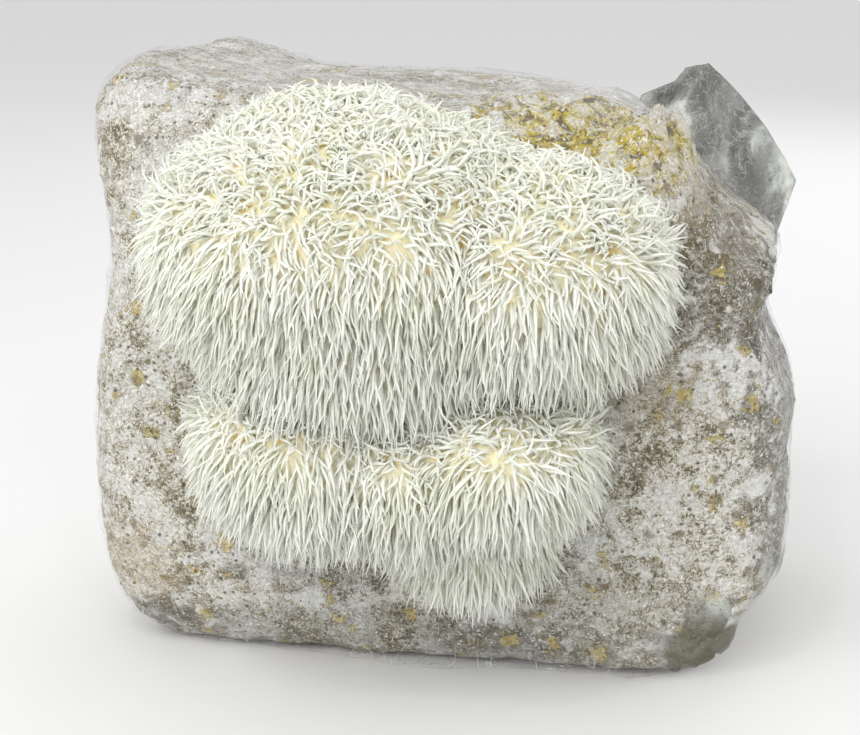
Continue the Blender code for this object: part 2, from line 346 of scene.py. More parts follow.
# Patches of colour on the block: centre from MIDDLE, half sizes, colour, share. Most are stains, spots and darker or
# paler places; the first (the top) and the eighth (the right side) are painted shade.
BLOCK_STAINS_AND_PAINTED_SHADE = (
    # Painted shade: the whole top is darkened so that it is no brighter than the front under the light from above
    ((0.000, 0.010, 0.168), (0.110, 0.110, 0.016), srgb(150, 143, 126), 0.50),
    ((0.000, -0.055, 0.008), (0.105, 0.050, 0.014), srgb(108, 102, 80), 0.60),
    ((0.055, -0.055, 0.022), (0.035, 0.050, 0.018), srgb(128, 120, 92), 0.55),
    ((0.000, -0.045, 0.164), (0.012, 0.020, 0.006), srgb(200, 168, 66), 0.80),
    ((0.082, -0.050, 0.112), (0.022, 0.055, 0.020), srgb(92, 82, 52), 1.0),
    ((0.084, -0.030, 0.132), (0.024, 0.060, 0.018), srgb(128, 112, 66), 0.85),
    ((0.060, -0.055, 0.086), (0.020, 0.040, 0.012), srgb(166, 146, 104), 0.65),
    # Painted shade: the right side is darkened, as the side turned away from the light
    ((0.102, 0.000, 0.060), (0.018, 0.110, 0.070), srgb(98, 93, 78), 1.0),
    ((0.096, 0.010, 0.100), (0.014, 0.070, 0.016), srgb(58, 54, 36), 1.0),
    ((0.063, -0.044, 0.150), (0.013, 0.026, 0.022), srgb(232, 218, 194), 0.90),
    ((-0.086, -0.058, 0.026), (0.018, 0.030, 0.014), srgb(214, 192, 158), 0.65),
    ((-0.068, -0.050, 0.141), (0.014, 0.030, 0.009), srgb(244, 242, 240), 0.75),
    ((-0.083, -0.055, 0.010), (0.024, 0.030, 0.007), srgb(78, 74, 46), 0.85),
    ((0.020, -0.055, 0.010), (0.022, 0.030, 0.006), srgb(78, 74, 46), 0.75),
    ((-0.020, -0.058, 0.034), (0.040, 0.030, 0.012), srgb(112, 104, 88), 0.60),
)


# The largest mustard-yellow patch, above the right lobe: centre from MIDDLE and half sizes
YELLOW_CLUSTER = ((0.040, -0.038, 0.148), (0.032, 0.038, 0.017))


def ragged_spot(nodes, at, centre, half, edge):
    """A patch round one place, 1 inside and 0 outside, with an edge that a noise breaks up."""
    offset = nodes.vector("SUBTRACT", at, tuple(MIDDLE + Vector(centre)))
    inverse = tuple(1.0 / value for value in half)
    reach = nodes.vector("LENGTH", nodes.vector("MULTIPLY", offset, inverse))
    reach = nodes.math("ADD", reach, nodes.math("MULTIPLY", nodes.math("SUBTRACT", edge, 0.5), 3.2))
    return nodes.ranged(reach, 1.15, 0.60)


def contour(nodes, field, level, width):
    """Thin winding lines where a field crosses a level."""
    away = nodes.math("ABSOLUTE", nodes.math("SUBTRACT", field, level))
    return nodes.ranged(away, 0.0, width, 1.0, 0.0)


def block_material(settings):
    material, nodes, shader = new_material("mycelium_run_sawdust")
    at = object_coordinates(nodes)
    cloud = nodes.noise(at, 26 * MM, detail=3.0, roughness=0.6).outputs["Fac"]
    middle = nodes.noise(at, 7 * MM, detail=4.0, roughness=0.65, Distortion=0.5).outputs["Fac"]
    fine = nodes.noise(at, 1.15 * MM, detail=3.0, roughness=0.75, Distortion=1.2).outputs["Fac"]
    winding = nodes.noise(at, 1.8 * MM, detail=1.0, roughness=0.5, Distortion=1.1).outputs["Fac"]
    tone = nodes.math("ADD", nodes.math("MULTIPLY", cloud, 0.22), nodes.math("MULTIPLY", middle, 0.32))
    tone = nodes.math("ADD", tone, nodes.math("MULTIPLY", fine, 0.46))
    base = nodes.ramp(tone, [(0.395, srgb(88, 78, 46)), (0.44, settings.sawdust),
                             (0.465, srgb(206, 198, 172)), (0.495, settings.mycelium),
                             (0.56, srgb(252, 252, 248))])
    for centre, half, colour, share in BLOCK_STAINS_AND_PAINTED_SHADE:
        spot = ragged_spot(nodes, at, centre, half, middle)
        speckled = nodes.ranged(fine, 0.34, 0.60, 1.0, 0.55)
        mask = nodes.math("MULTIPLY", nodes.math("MULTIPLY", spot, speckled), share)
        base = nodes.mixed(mask, base, colour)
    knobs = nodes.noise(at, 4.5 * MM, detail=2.0, roughness=0.6, Distortion=0.8).outputs["Fac"]
    yellowed = ragged_spot(nodes, at, *YELLOW_CLUSTER, middle)
    knob_colour = nodes.ramp(knobs, [(0.38, srgb(104, 90, 28)), (0.45, srgb(208, 182, 16)),
                                     (0.53, srgb(228, 206, 62)), (0.58, srgb(250, 242, 214))])
    base = nodes.mixed(nodes.math("MULTIPLY", yellowed, 0.92), base, knob_colour)
    dark_lines = nodes.math("MULTIPLY", contour(nodes, winding, 0.50, 0.050),
                            nodes.ranged(middle, 0.36, 0.60, 0.95, 0.20))
    base = nodes.mixed(dark_lines, base, srgb(112, 98, 66))
    pale_lines = nodes.math("MULTIPLY", contour(nodes, winding, 0.61, 0.050), 0.85)
    base = nodes.mixed(pale_lines, base, srgb(250, 249, 244))
    shifted = nodes.vector("ADD", at, nodes.scaled(
        nodes.noise(at, 4 * MM, detail=2.0).outputs["Color"], 3.0 * MM))
    blob = nodes.cells(shifted, 7.5 * MM)
    kind = nodes.add("ShaderNodeSeparateColor", {0: blob.outputs["Color"]})
    chosen = nodes.math("GREATER_THAN", nodes.math("ADD", kind.outputs[0], nodes.math("MULTIPLY", cloud, 2.5)), 1.78)
    radius = nodes.math("ADD", 0.0, nodes.math("MULTIPLY", kind.outputs[1], 0.40))
    radius = nodes.math("ADD", radius, nodes.math("MULTIPLY", nodes.math("SUBTRACT", winding, 0.5), 1.1))
    inside = nodes.math("SUBTRACT", radius, blob.outputs["Distance"])
    ochre = nodes.mixed(nodes.ranged(fine, 0.40, 0.62), settings.ochre, srgb(228, 208, 128))
    filled = nodes.math("MULTIPLY", nodes.ranged(inside, -0.01, 0.03), nodes.math("MULTIPLY", chosen, 0.75))
    base = nodes.mixed(filled, base, ochre)
    rim = nodes.math("MULTIPLY", contour(nodes, inside, -0.015, 0.035), chosen)
    base = nodes.mixed(nodes.math("MULTIPLY", rim, 0.85), base, srgb(84, 72, 38))
    clump = nodes.cells(shifted, 5.2 * MM)
    clump_kind = nodes.add("ShaderNodeSeparateColor", {0: clump.outputs["Color"]})
    clump_depth = nodes.math("SUBTRACT", nodes.math("ADD", fine, -0.22), clump.outputs["Distance"])
    clump_mask = nodes.math("MULTIPLY", nodes.ranged(clump_depth, -0.04, 0.08),
                            nodes.math("GREATER_THAN", clump_kind.outputs[2], 0.72))
    base = nodes.mixed(nodes.math("MULTIPLY", clump_mask, 0.65), base, srgb(118, 104, 58))
    speck = nodes.cells(at, 2.1 * MM)
    speck_kind = nodes.add("ShaderNodeSeparateColor", {0: speck.outputs["Color"]}).outputs[2]
    speck_mask = nodes.math("MULTIPLY", nodes.ranged(speck.outputs["Distance"], 0.30, 0.20),
                            nodes.math("GREATER_THAN", speck_kind, 0.72))
    base = nodes.mixed(nodes.math("MULTIPLY", speck_mask, 0.75), base, srgb(74, 66, 42))
    # Tiny white dots: painted highlights that stand in for glints off the wet film
    painted_glint_cells = nodes.cells(at, 1.5 * MM)
    painted_glint_kind = nodes.add("ShaderNodeSeparateColor", {0: painted_glint_cells.outputs["Color"]}).outputs[0]
    painted_glint_mask = nodes.math("MULTIPLY", nodes.ranged(painted_glint_cells.outputs["Distance"], 0.26, 0.14),
                            nodes.math("GREATER_THAN", painted_glint_kind, 0.78))
    base = nodes.mixed(painted_glint_mask, base, srgb(255, 255, 253))
    nodes.put(shader.inputs["Base Color"], base)
    shader.inputs["Roughness"].default_value = 0.62
    relief = nodes.math("ADD", nodes.math("MULTIPLY", fine, 1.2), nodes.math("MULTIPLY", winding, 0.9))
    relief = nodes.math("ADD", relief, nodes.math("MULTIPLY", filled, 0.35))
    bump = nodes.add("ShaderNodeBump", {"Height": relief, "Strength": 1.0, "Distance": 1.3 * MM})
    nodes.put(shader.inputs["Normal"], bump)
    crinkle = nodes.noise(at, 2.0 * MM, detail=3.0, roughness=0.65, Distortion=1.0).outputs["Fac"]
    gloss = nodes.add("ShaderNodeBump", {"Height": crinkle, "Strength": 1.0, "Distance": 1.6 * MM})
    nodes.put(shader.inputs["Coat Normal"], gloss)
    shader.inputs["Coat Weight"].default_value = 0.6
    shader.inputs["Coat Roughness"].default_value = 0.10
    return material


def film_material(settings):
    material, nodes, shader = new_material("clear_film")
    at = object_coordinates(nodes)
    loose = nodes.add("ShaderNodeAttribute", attribute_name="loose").outputs["Fac"]
    edge = nodes.add("ShaderNodeAttribute", attribute_name="edge").outputs["Fac"]
    crease = nodes.noise(at, 9 * MM, detail=4.0, roughness=0.6, Distortion=0.8).outputs["Fac"]
    crests = contour(nodes, crease, 0.5, 0.035)
    fine = nodes.noise(at, 3.0 * MM, detail=3.0, roughness=0.65, Distortion=1.0).outputs["Fac"]
    cloud = nodes.noise(at, 24 * MM, detail=3.0).outputs["Fac"]
    facing = nodes.add("ShaderNodeLayerWeight", {"Blend": 0.25}).outputs["Facing"]
    alpha = nodes.math("ADD", nodes.math("MULTIPLY", crests, 0.07), nodes.math("MULTIPLY", facing, 0.04))
    alpha = nodes.math("ADD", alpha, nodes.math("MULTIPLY", edge, nodes.ranged(cloud, 0.42, 0.68, 0.0, 0.22)))
    drawn_out = nodes.vector("MULTIPLY", at, (0.8, 1.0, 0.38))
    pull = nodes.noise(drawn_out, 8 * MM, detail=2.0, roughness=0.5, Distortion=0.6).outputs["Fac"]
    wrinkle = nodes.math("MULTIPLY", contour(nodes, pull, 0.48, 0.016), nodes.math("ADD", 0.10, edge))
    alpha = nodes.math("ADD", alpha, nodes.math("MULTIPLY", wrinkle, 0.38))
    clear = nodes.add("ShaderNodeAttribute", attribute_name="clear").outputs["Fac"]
    alpha = nodes.math("MULTIPLY", alpha, nodes.math("SUBTRACT", 1.0, nodes.math("MULTIPLY", clear, 0.85)))
    alpha = nodes.math("ADD", alpha, nodes.math("MULTIPLY", loose, 0.60))
    alpha = nodes.math("ADD", alpha, 0.015, clamp=True)
    # The loose film's grey, swept by a noise from painted shade at its dark end to painted highlight at its pale end
    sweep = nodes.noise(nodes.vector("MULTIPLY", at, (1.0, 1.0, 0.45)), 15 * MM, detail=3.0,
                        roughness=0.55, Distortion=0.7).outputs["Fac"]
    loose_tone_and_painted_light = nodes.ramp(sweep, [(0.36, srgb(60, 60, 52)), (0.46, srgb(112, 112, 104)),
                                    (0.54, srgb(146, 148, 142)), (0.65, srgb(226, 232, 222))])
    # Pale lines are painted highlights on fold crests, and dark lines are painted shade in the folds
    painted_fold_light_and_shade = nodes.noise(at, 6 * MM, detail=3.0, roughness=0.6, Distortion=1.5).outputs["Fac"]
    loose_tone_and_painted_light = nodes.mixed(nodes.math("MULTIPLY", contour(nodes, painted_fold_light_and_shade, 0.47, 0.022), 0.55), loose_tone_and_painted_light,
                             srgb(206, 214, 204))
    loose_tone_and_painted_light = nodes.mixed(nodes.math("MULTIPLY", contour(nodes, painted_fold_light_and_shade, 0.56, 0.020), 0.60), loose_tone_and_painted_light,
                             srgb(62, 62, 54))
    holes = nodes.cells(at, 4.2 * MM).outputs["Distance"]
    loose_tone_and_painted_light = nodes.mixed(nodes.ranged(holes, 0.16, 0.08, 0.0, 0.7), loose_tone_and_painted_light, srgb(48, 47, 38))
    height = nodes.add("ShaderNodeSeparateXYZ", {0: at}).outputs["Z"]
    low = nodes.ranged(height, 0.026, 0.016)
    loose_tone_and_painted_light = nodes.mixed(low, loose_tone_and_painted_light, srgb(84, 82, 62))
    alpha = nodes.math("ADD", alpha, nodes.math("MULTIPLY", nodes.math("MULTIPLY", low, loose), 0.20), clamp=True)
    # The film's milky grey, whitened along thin wrinkles: the crease's own whitening and a painted highlight on its
    # crests
    tight_tone_with_painted_highlight = nodes.mixed(wrinkle, settings.milk, srgb(244, 244, 242))
    depth = nodes.add("ShaderNodeSeparateXYZ", {0: at}).outputs["Y"]
    behind = nodes.ranged(depth, MIDDLE.y + 0.050, MIDDLE.y + 0.058)
    pale = nodes.mixed(0.62, loose_tone_and_painted_light, srgb(214, 216, 212))
    loose_tone_and_painted_light = nodes.mixed(behind, loose_tone_and_painted_light, pale)
    thinner = nodes.math("MULTIPLY", nodes.math("MULTIPLY", behind, loose), 0.22)
    alpha = nodes.math("SUBTRACT", alpha, thinner, clamp=True)
    colour = nodes.mixed(loose, tight_tone_with_painted_highlight, loose_tone_and_painted_light)
    nodes.put(shader.inputs["Base Color"], colour)
    nodes.put(shader.inputs["Alpha"], alpha)
    shader.inputs["Roughness"].default_value = 0.20
    height = nodes.math("ADD", crease, nodes.math("MULTIPLY", fine, 0.4))
    bump = nodes.add("ShaderNodeBump", {"Height": height, "Strength": 0.6, "Distance": 1.5 * MM})
    nodes.put(shader.inputs["Normal"], bump)
    return material


def spine_material(settings):
    material, nodes, shader = new_material("ivory_spines")
    at = object_coordinates(nodes)
    along = nodes.add("ShaderNodeAttribute", attribute_name="along").outputs["Fac"]
    tone = nodes.add("ShaderNodeAttribute", attribute_name="tone").outputs["Fac"]
    middle = tuple((2.0 * a + b) / 3.0 for a, b in zip(settings.tip_colour, settings.root_colour))
    colour = nodes.ramp(along, [(0.0, settings.root_colour), (0.25, middle), (0.5, settings.tip_colour)])
    patch = nodes.noise(at, 22 * MM, detail=3.0).outputs["Fac"]
    colour = nodes.mixed(nodes.ranged(patch, 0.45, 0.68, 0.0, 0.30), colour, srgb(236, 238, 214), "MULTIPLY")
    tone_and_painted_shade = nodes.ranged(tone, 0.0, 1.0, 0.90, 1.03, smooth=False)
    hanging = nodes.add("ShaderNodeAttribute", attribute_name="hangs").outputs["Fac"]
    # Hanging spines are drawn up to 10% darker: painted shade, as the lower lobes get less of the light from above
    tone_and_painted_shade = nodes.math("MULTIPLY", tone_and_painted_shade, nodes.ranged(hanging, 0.0, 1.0, 1.0, 0.90))
    colour = nodes.scaled(colour, tone_and_painted_shade)
    nodes.put(shader.inputs["Base Color"], colour)
    shader.inputs["Roughness"].default_value = 0.5
    shader.inputs["Subsurface Weight"].default_value = 0.35
    shader.inputs["Subsurface Radius"].default_value = (1.0, 1.0, 0.9)
    shader.inputs["Subsurface Scale"].default_value = 1.2 * MM
    shader.inputs["Sheen Weight"].default_value = 0.8
    shader.inputs["Sheen Roughness"].default_value = 0.5
    return material


def flesh_material(settings):
    material, nodes, shader = new_material("straw_flesh")
    at = object_coordinates(nodes)
    patch = nodes.noise(at, 6 * MM, detail=4.0).outputs["Fac"]
    colour = nodes.ramp(patch, [(0.34, srgb(224, 190, 104)), (0.46, settings.root_colour)])
    nodes.put(shader.inputs["Base Color"], colour)
    shader.inputs["Roughness"].default_value = 0.7
    bump = nodes.add("ShaderNodeBump", {"Height": patch, "Strength": 0.5, "Distance": 0.8 * MM})
    nodes.put(shader.inputs["Normal"], bump)
    return material


def block_height(place):
    lump = 0.8 * MM * noise.noise(place / (14 * MM)) + 0.7 * MM * noise.noise(place / (6 * MM))
    grains = max(0.0, 0.55 - noise.voronoi(place / (3.4 * MM))[0][0])
    crusted = smooth_step(-0.1, 0.35, noise.noise(place / (24 * MM) + Vector((3.0, 1.0, 7.0))))
    lump += 1.7 * MM * grains * crusted
    return lump + 0.5 * MM * noise.noise(place / (2.8 * MM)) + 0.1 * MM


def outer_skin(node, core, gap):
    """A copy of a CAD shell without its inner faces, which lie within the gap of its core."""
    bm = welded_copy(node)
    core_mesh = welded_copy(core)
    tree = BVHTree.FromBMesh(core_mesh)
    core_mesh.free()
    inner = [face for face in bm.faces
             if sum(tree.find_nearest(vert.co)[3] for vert in face.verts) < gap * len(face.verts)]
    bmesh.ops.delete(bm, geom=inner, context="FACES")
    return bm


def cut_ear(bm):
    """Takes the CAD bag's loose corner off, which has a finer piece of its own."""
    core = welded_copy("substrate_block")
    tree = BVHTree.FromBMesh(core)
    core.free()
    ear = [vert for vert in bm.verts
           if tree.find_nearest(vert.co)[3] > EAR_FROM and vert.co.z > 0.100 and vert.co.x > 0.030]
    bmesh.ops.delete(bm, geom=ear, context="VERTS")


class MUSHROOM_OT_block(bpy.types.Operator):
    """Make the sawdust block from the CAD block's shape"""
    bl_idname = "mushroom.block"
    bl_label = "Sawdust block"

    def execute(self, context):
        mesh = finer(welded_copy("substrate_block"), 3, "sawdust_block")
        bm = bmesh.new()
        bm.from_mesh(mesh)
        front = {edge for face in bm.faces if face.normal.y < -0.35 for edge in face.edges}
        bmesh.ops.subdivide_edges(bm, edges=list(front), cuts=1, use_grid_fill=True)
        bm.to_mesh(mesh)
        bm.free()
        moved(mesh, [vert.co + vert.normal * block_height(vert.co) - DOWN * lift(vert.co - MIDDLE)
                     for vert in mesh.vertices])
        print("BLOCK", len(mesh.polygons), max(nearest_distances(mesh, "substrate_block")))
        material = block_material(context.scene.mushroom_block)
        new_piece("sawdust_block", mesh, material, "substrate_block")
        return {"FINISHED"}


class MUSHROOM_OT_film(bpy.types.Operator):
    """Make the film round the block, its folded end with the loose corner, and the hole for the mushroom"""
    bl_idname = "mushroom.film"
    bl_label = "Film"

    def execute(self, context):
        settings = context.scene.mushroom_film
        skin = outer_skin("grow_bag", "substrate_block", SKIN_SPLIT)
        cut_ear(skin)
        mesh = finer(skin, 3, "film_bag")
        distances = nearest_distances(mesh, "substrate_block")
        loose = [smooth_step(LOOSE_FROM, LOOSE_TO, distance) * folded_double(vert.co - MIDDLE)
                 for vert, distance in zip(mesh.vertices, distances)]
        mesh.attributes.new("loose", "FLOAT", "POINT").data.foreach_set("value", loose)
        mesh.attributes.new("edge", "FLOAT", "POINT").data.foreach_set(
            "value", [film_edge(vert.co - MIDDLE) for vert in mesh.vertices])
        mesh.attributes.new("clear", "FLOAT", "POINT").data.foreach_set(
            "value", [knobbly(vert.co - MIDDLE) for vert in mesh.vertices])
        places = []
        for vert, slack in zip(mesh.vertices, loose):
            crumple = ridge(vert.co, 22 * MM, 3.0) + 0.6 * ridge(vert.co, 9 * MM, 8.0)
            proud = settings.crease * crumple * (1.0 + 0.5 * slack)
            proud -= (CAD_STAND_OFF - settings.stand_off) * (1.0 - slack)
            place = vert.co + vert.normal * proud - DOWN * lift(vert.co - MIDDLE)
            place.z = max(place.z, FILM_LOWEST)
            places.append(place)
        moved(mesh, places)
        print("FILM", len(mesh.polygons))
        material = film_material(settings)
        bag = new_piece("film_bag", mesh, material, "grow_bag")
        # Light passes the clear film as if it weren't there, which saves a quarter of a render
        bag.visible_shadow = bag.visible_diffuse = bag.visible_glossy = False
        corner = loose_corner_mesh()
        for name, value in (("loose", 1.0), ("edge", 0.0), ("clear", 0.0)):
            values = [value] * len(corner.vertices)
            corner.attributes.new(name, "FLOAT", "POINT").data.foreach_set("value", values)
        new_piece("loose_corner", corner, material, "grow_bag")
        return {"FINISHED"}


# Faces of the film nearer than this to the block are its inside
SKIN_SPLIT = 0.7 * MM
# The CAD film's outside from the CAD block: its gap and its thickness
CAD_STAND_OFF = 1.1 * MM
# Points of the bag's upper right farther than this from the block are its loose corner
EAR_FROM = 3.4 * MM
FILM_LOWEST = 0.2 * MM
LOOSE_FROM, LOOSE_TO = 1.5 * MM, 2.6 * MM


# The ridge where the film stands up like a tent at the right shoulder, from its peak to its foot
TENT_PEAK, TENT_FOOT = Vector((0.066, -0.036)), Vector((0.056, -0.060))
TENT_HEIGHT, TENT_WIDTH = 18.0 * MM, 14.0 * MM
CORNER_LIFT = 2.5 * MM
# How far the knobs of the yellow patch rise
KNOB_LIFT = 5.0 * MM

# The loose corner of film at the upper right: its outline as x and z from MIDDLE, and its foot on the block
CORNER_OUTLINE = ((50, 151), (60, 155), (63, 159), (70, 161), (80, 151), (88, 142), (94, 133), (98, 125),
                  (96, 118), (91, 104))
CORNER_FOOT = ((46, 140), (66, 124), (82, 92))
CORNER_Y = (0.036, 0.050)
CORNER_COLUMNS, CORNER_ROWS = 90, 30
CORNER_FOLDS, CORNER_FOLD_DEPTH = 10.0, 7.0 * MM


def lift(place):
    """How far the film's tent-like ridge and the pulled-up left corner rise over the CAD bag."""
    if place.z < 0.100:
        return 0.0
    along = TENT_FOOT - TENT_PEAK
    flat = Vector((place.x - TENT_PEAK.x, place.y - TENT_PEAK.y))
    share = min(1.0, max(0.0, flat.dot(along) / along.length_squared))
    near = (flat - along * share).length
    rise = TENT_HEIGHT * (1.0 - 0.5 * share) * max(0.0, 1.0 - near / TENT_WIDTH) ** 1.6
    corner = smooth_step(0.125, 0.158, place.z) * smooth_step(-0.068, -0.090, place.x)
    knob = max(0.0, noise.noise(place / (6 * MM)) + 0.2) * knobbly(place)
    return rise * smooth_step(0.100, 0.125, place.z) + CORNER_LIFT * corner + KNOB_LIFT * knob


def on_line(points, share):
    """The place at a share of the way through a row of points, each as far from the next."""
    step = share * (len(points) - 1)
    index = min(int(step), len(points) - 2)
    first, second = Vector(points[index]), Vector(points[index + 1])
    return first.lerp(second, step - index)


def loose_corner_mesh():
    bm = bmesh.new()
    rows = []
    for j in range(CORNER_ROWS + 1):
        row = []
        for i in range(CORNER_COLUMNS + 1):
            across, out = i / CORNER_COLUMNS, j / CORNER_ROWS
            flat = on_line(CORNER_FOOT, across).lerp(on_line(CORNER_OUTLINE, across), out) * MM
            bent = 1.5 * noise.noise(Vector((across * 3.0, out * 2.0, 4.0)))
            fold = abs(math.sin(CORNER_FOLDS * across + bent)) - 0.5
            crumple = CORNER_FOLD_DEPTH * out * fold
            crumple += 3.0 * MM * noise.noise(Vector((across * 7.0, out * 3.0, 9.0)))
            crumple += 1.0 * MM * noise.noise(Vector((across * 30.0, out * 8.0, 7.0)))
            depth = CORNER_Y[0] + (CORNER_Y[1] - CORNER_Y[0]) * out
            row.append(bm.verts.new(MIDDLE + Vector((flat.x, depth + crumple, flat.y))))
        rows.append(row)
    for low, high in zip(rows, rows[1:]):
        for i in range(CORNER_COLUMNS):
            bm.faces.new((low[i], low[i + 1], high[i + 1], high[i]))
    obj = scratch_object(mesh_of(bm, "loose_corner"))
    thick = obj.modifiers.new("film", "SOLIDIFY")
    thick.thickness = 0.3 * MM
    thick.offset = 0.0
    return baked_mesh(obj, "loose_corner")


def film_edge(place):
    """How near a place is to the rim of the block's front, where the film is folded and milky."""
    across = max(abs(place.x) / 0.100, abs(place.z - 0.082) / 0.084)
    return smooth_step(0.80, 1.0, across) * (1.0 - 0.6 * smooth_step(0.045, 0.075, place.x))


def folded_double(place):
    """1 behind the block and at its lower right corner, where film lies on film, and 0 at its front."""
    behind = smooth_step(-0.010, 0.015, place.y) * smooth_step(0.035, 0.050, place.z)
    return max(behind, smooth_step(0.060, 0.070, place.x) * smooth_step(0.050, 0.040, place.z))


def in_cluster(place):
    """1 in the middle of the mustard-yellow patch and 0 outside it."""
    centre, half = YELLOW_CLUSTER
    return smooth_step(1.3, 0.7, math.sqrt(sum(((place[i] - centre[i]) / half[i]) ** 2 for i in range(3))))


def knobbly(place):
    """1 on the yellow patch and on the right shoulder, which are lumpy under clear film, and 0 elsewhere."""
    shoulder = smooth_step(0.055, 0.072, place.x) * smooth_step(0.088, 0.105, place.z)
    return max(in_cluster(place), shoulder * smooth_step(0.010, -0.010, place.y))


def nearest_lobe(place):
    """The index of the lobe whose surface the place is nearest to, in the order of LOBES."""
    def reach(shape):
        centre, half = shape
        offset = place - MIDDLE - Vector(centre)
        return sum((offset[i] / half[i]) ** 2 for i in range(3))
    shapes = list(LOBES.values())
    return min(range(len(shapes)), key=lambda index: reach(shapes[index]))


def flesh_mesh():
    bm = bmesh.new()
    for centre, half in [*LOBES.values(), NECK]:
        made = bmesh.ops.create_uvsphere(bm, u_segments=32, v_segments=20, radius=1.0)
        for vert in made["verts"]:
            vert.co = Vector(c * h for c, h in zip(vert.co, half)) + Vector(centre) + MIDDLE
    obj = scratch_object(mesh_of(bm, "flesh"))
    remesh = obj.modifiers.new("one body", "REMESH")
    remesh.mode = "VOXEL"
    remesh.voxel_size = LOBE_CELL
    soften = obj.modifiers.new("soften", "SMOOTH")
    soften.iterations = 16
    return baked_mesh(obj, "flesh")


def clamp_to_bag(mesh):
    """Keeps the flesh in front of the bag, except the neck that goes through it."""
    bm = welded_copy("grow_bag")
    tree = BVHTree.FromBMesh(bm)
    bm.free()
    for vert in mesh.vertices:
        start = Vector((vert.co.x, -0.2, vert.co.z))
        hit = tree.ray_cast(start, Vector((0.0, 1.0, 0.0)))
        if hit[0] and vert.co.y > hit[0].y - 0.3 * MM:
            vert.co.y = hit[0].y - 0.3 * MM
    return tree


def paint_growth(mesh, bag_tree):
    """Stores where spines grow, how much room each has, and which lobe carries it."""
    bm = bmesh.new()
    bm.from_mesh(mesh)
    bm.normal_update()
    own_tree = BVHTree.FromBMesh(bm)
    grows, rooms = [], []
    for vert in bm.verts:
        hang = smooth_step(0.25, -0.45, vert.normal.z)
        way = (vert.normal * (1.0 - 0.5 * hang) + DOWN * 0.9 * hang).normalized()
        start = vert.co + vert.normal * 1.5 * MM
        free = 14 * MM
        for tree in (own_tree, bag_tree):
            hit = tree.ray_cast(start, way, free)
            if hit[0]:
                free = hit[3]
        rooms.append(max(0.35, free / (14 * MM)))
        grows.append(smooth_step(0.75, 0.45, vert.normal.y))
    bm.free()
    for name, values in (("grows", grows), ("room", rooms)):
        mesh.attributes.new(name, "FLOAT", "POINT").data.foreach_set("value", values)
    lobes = [nearest_lobe(face.center) for face in mesh.polygons]
    mesh.attributes.new("lobe", "INT", "FACE").data.foreach_set("value", lobes)


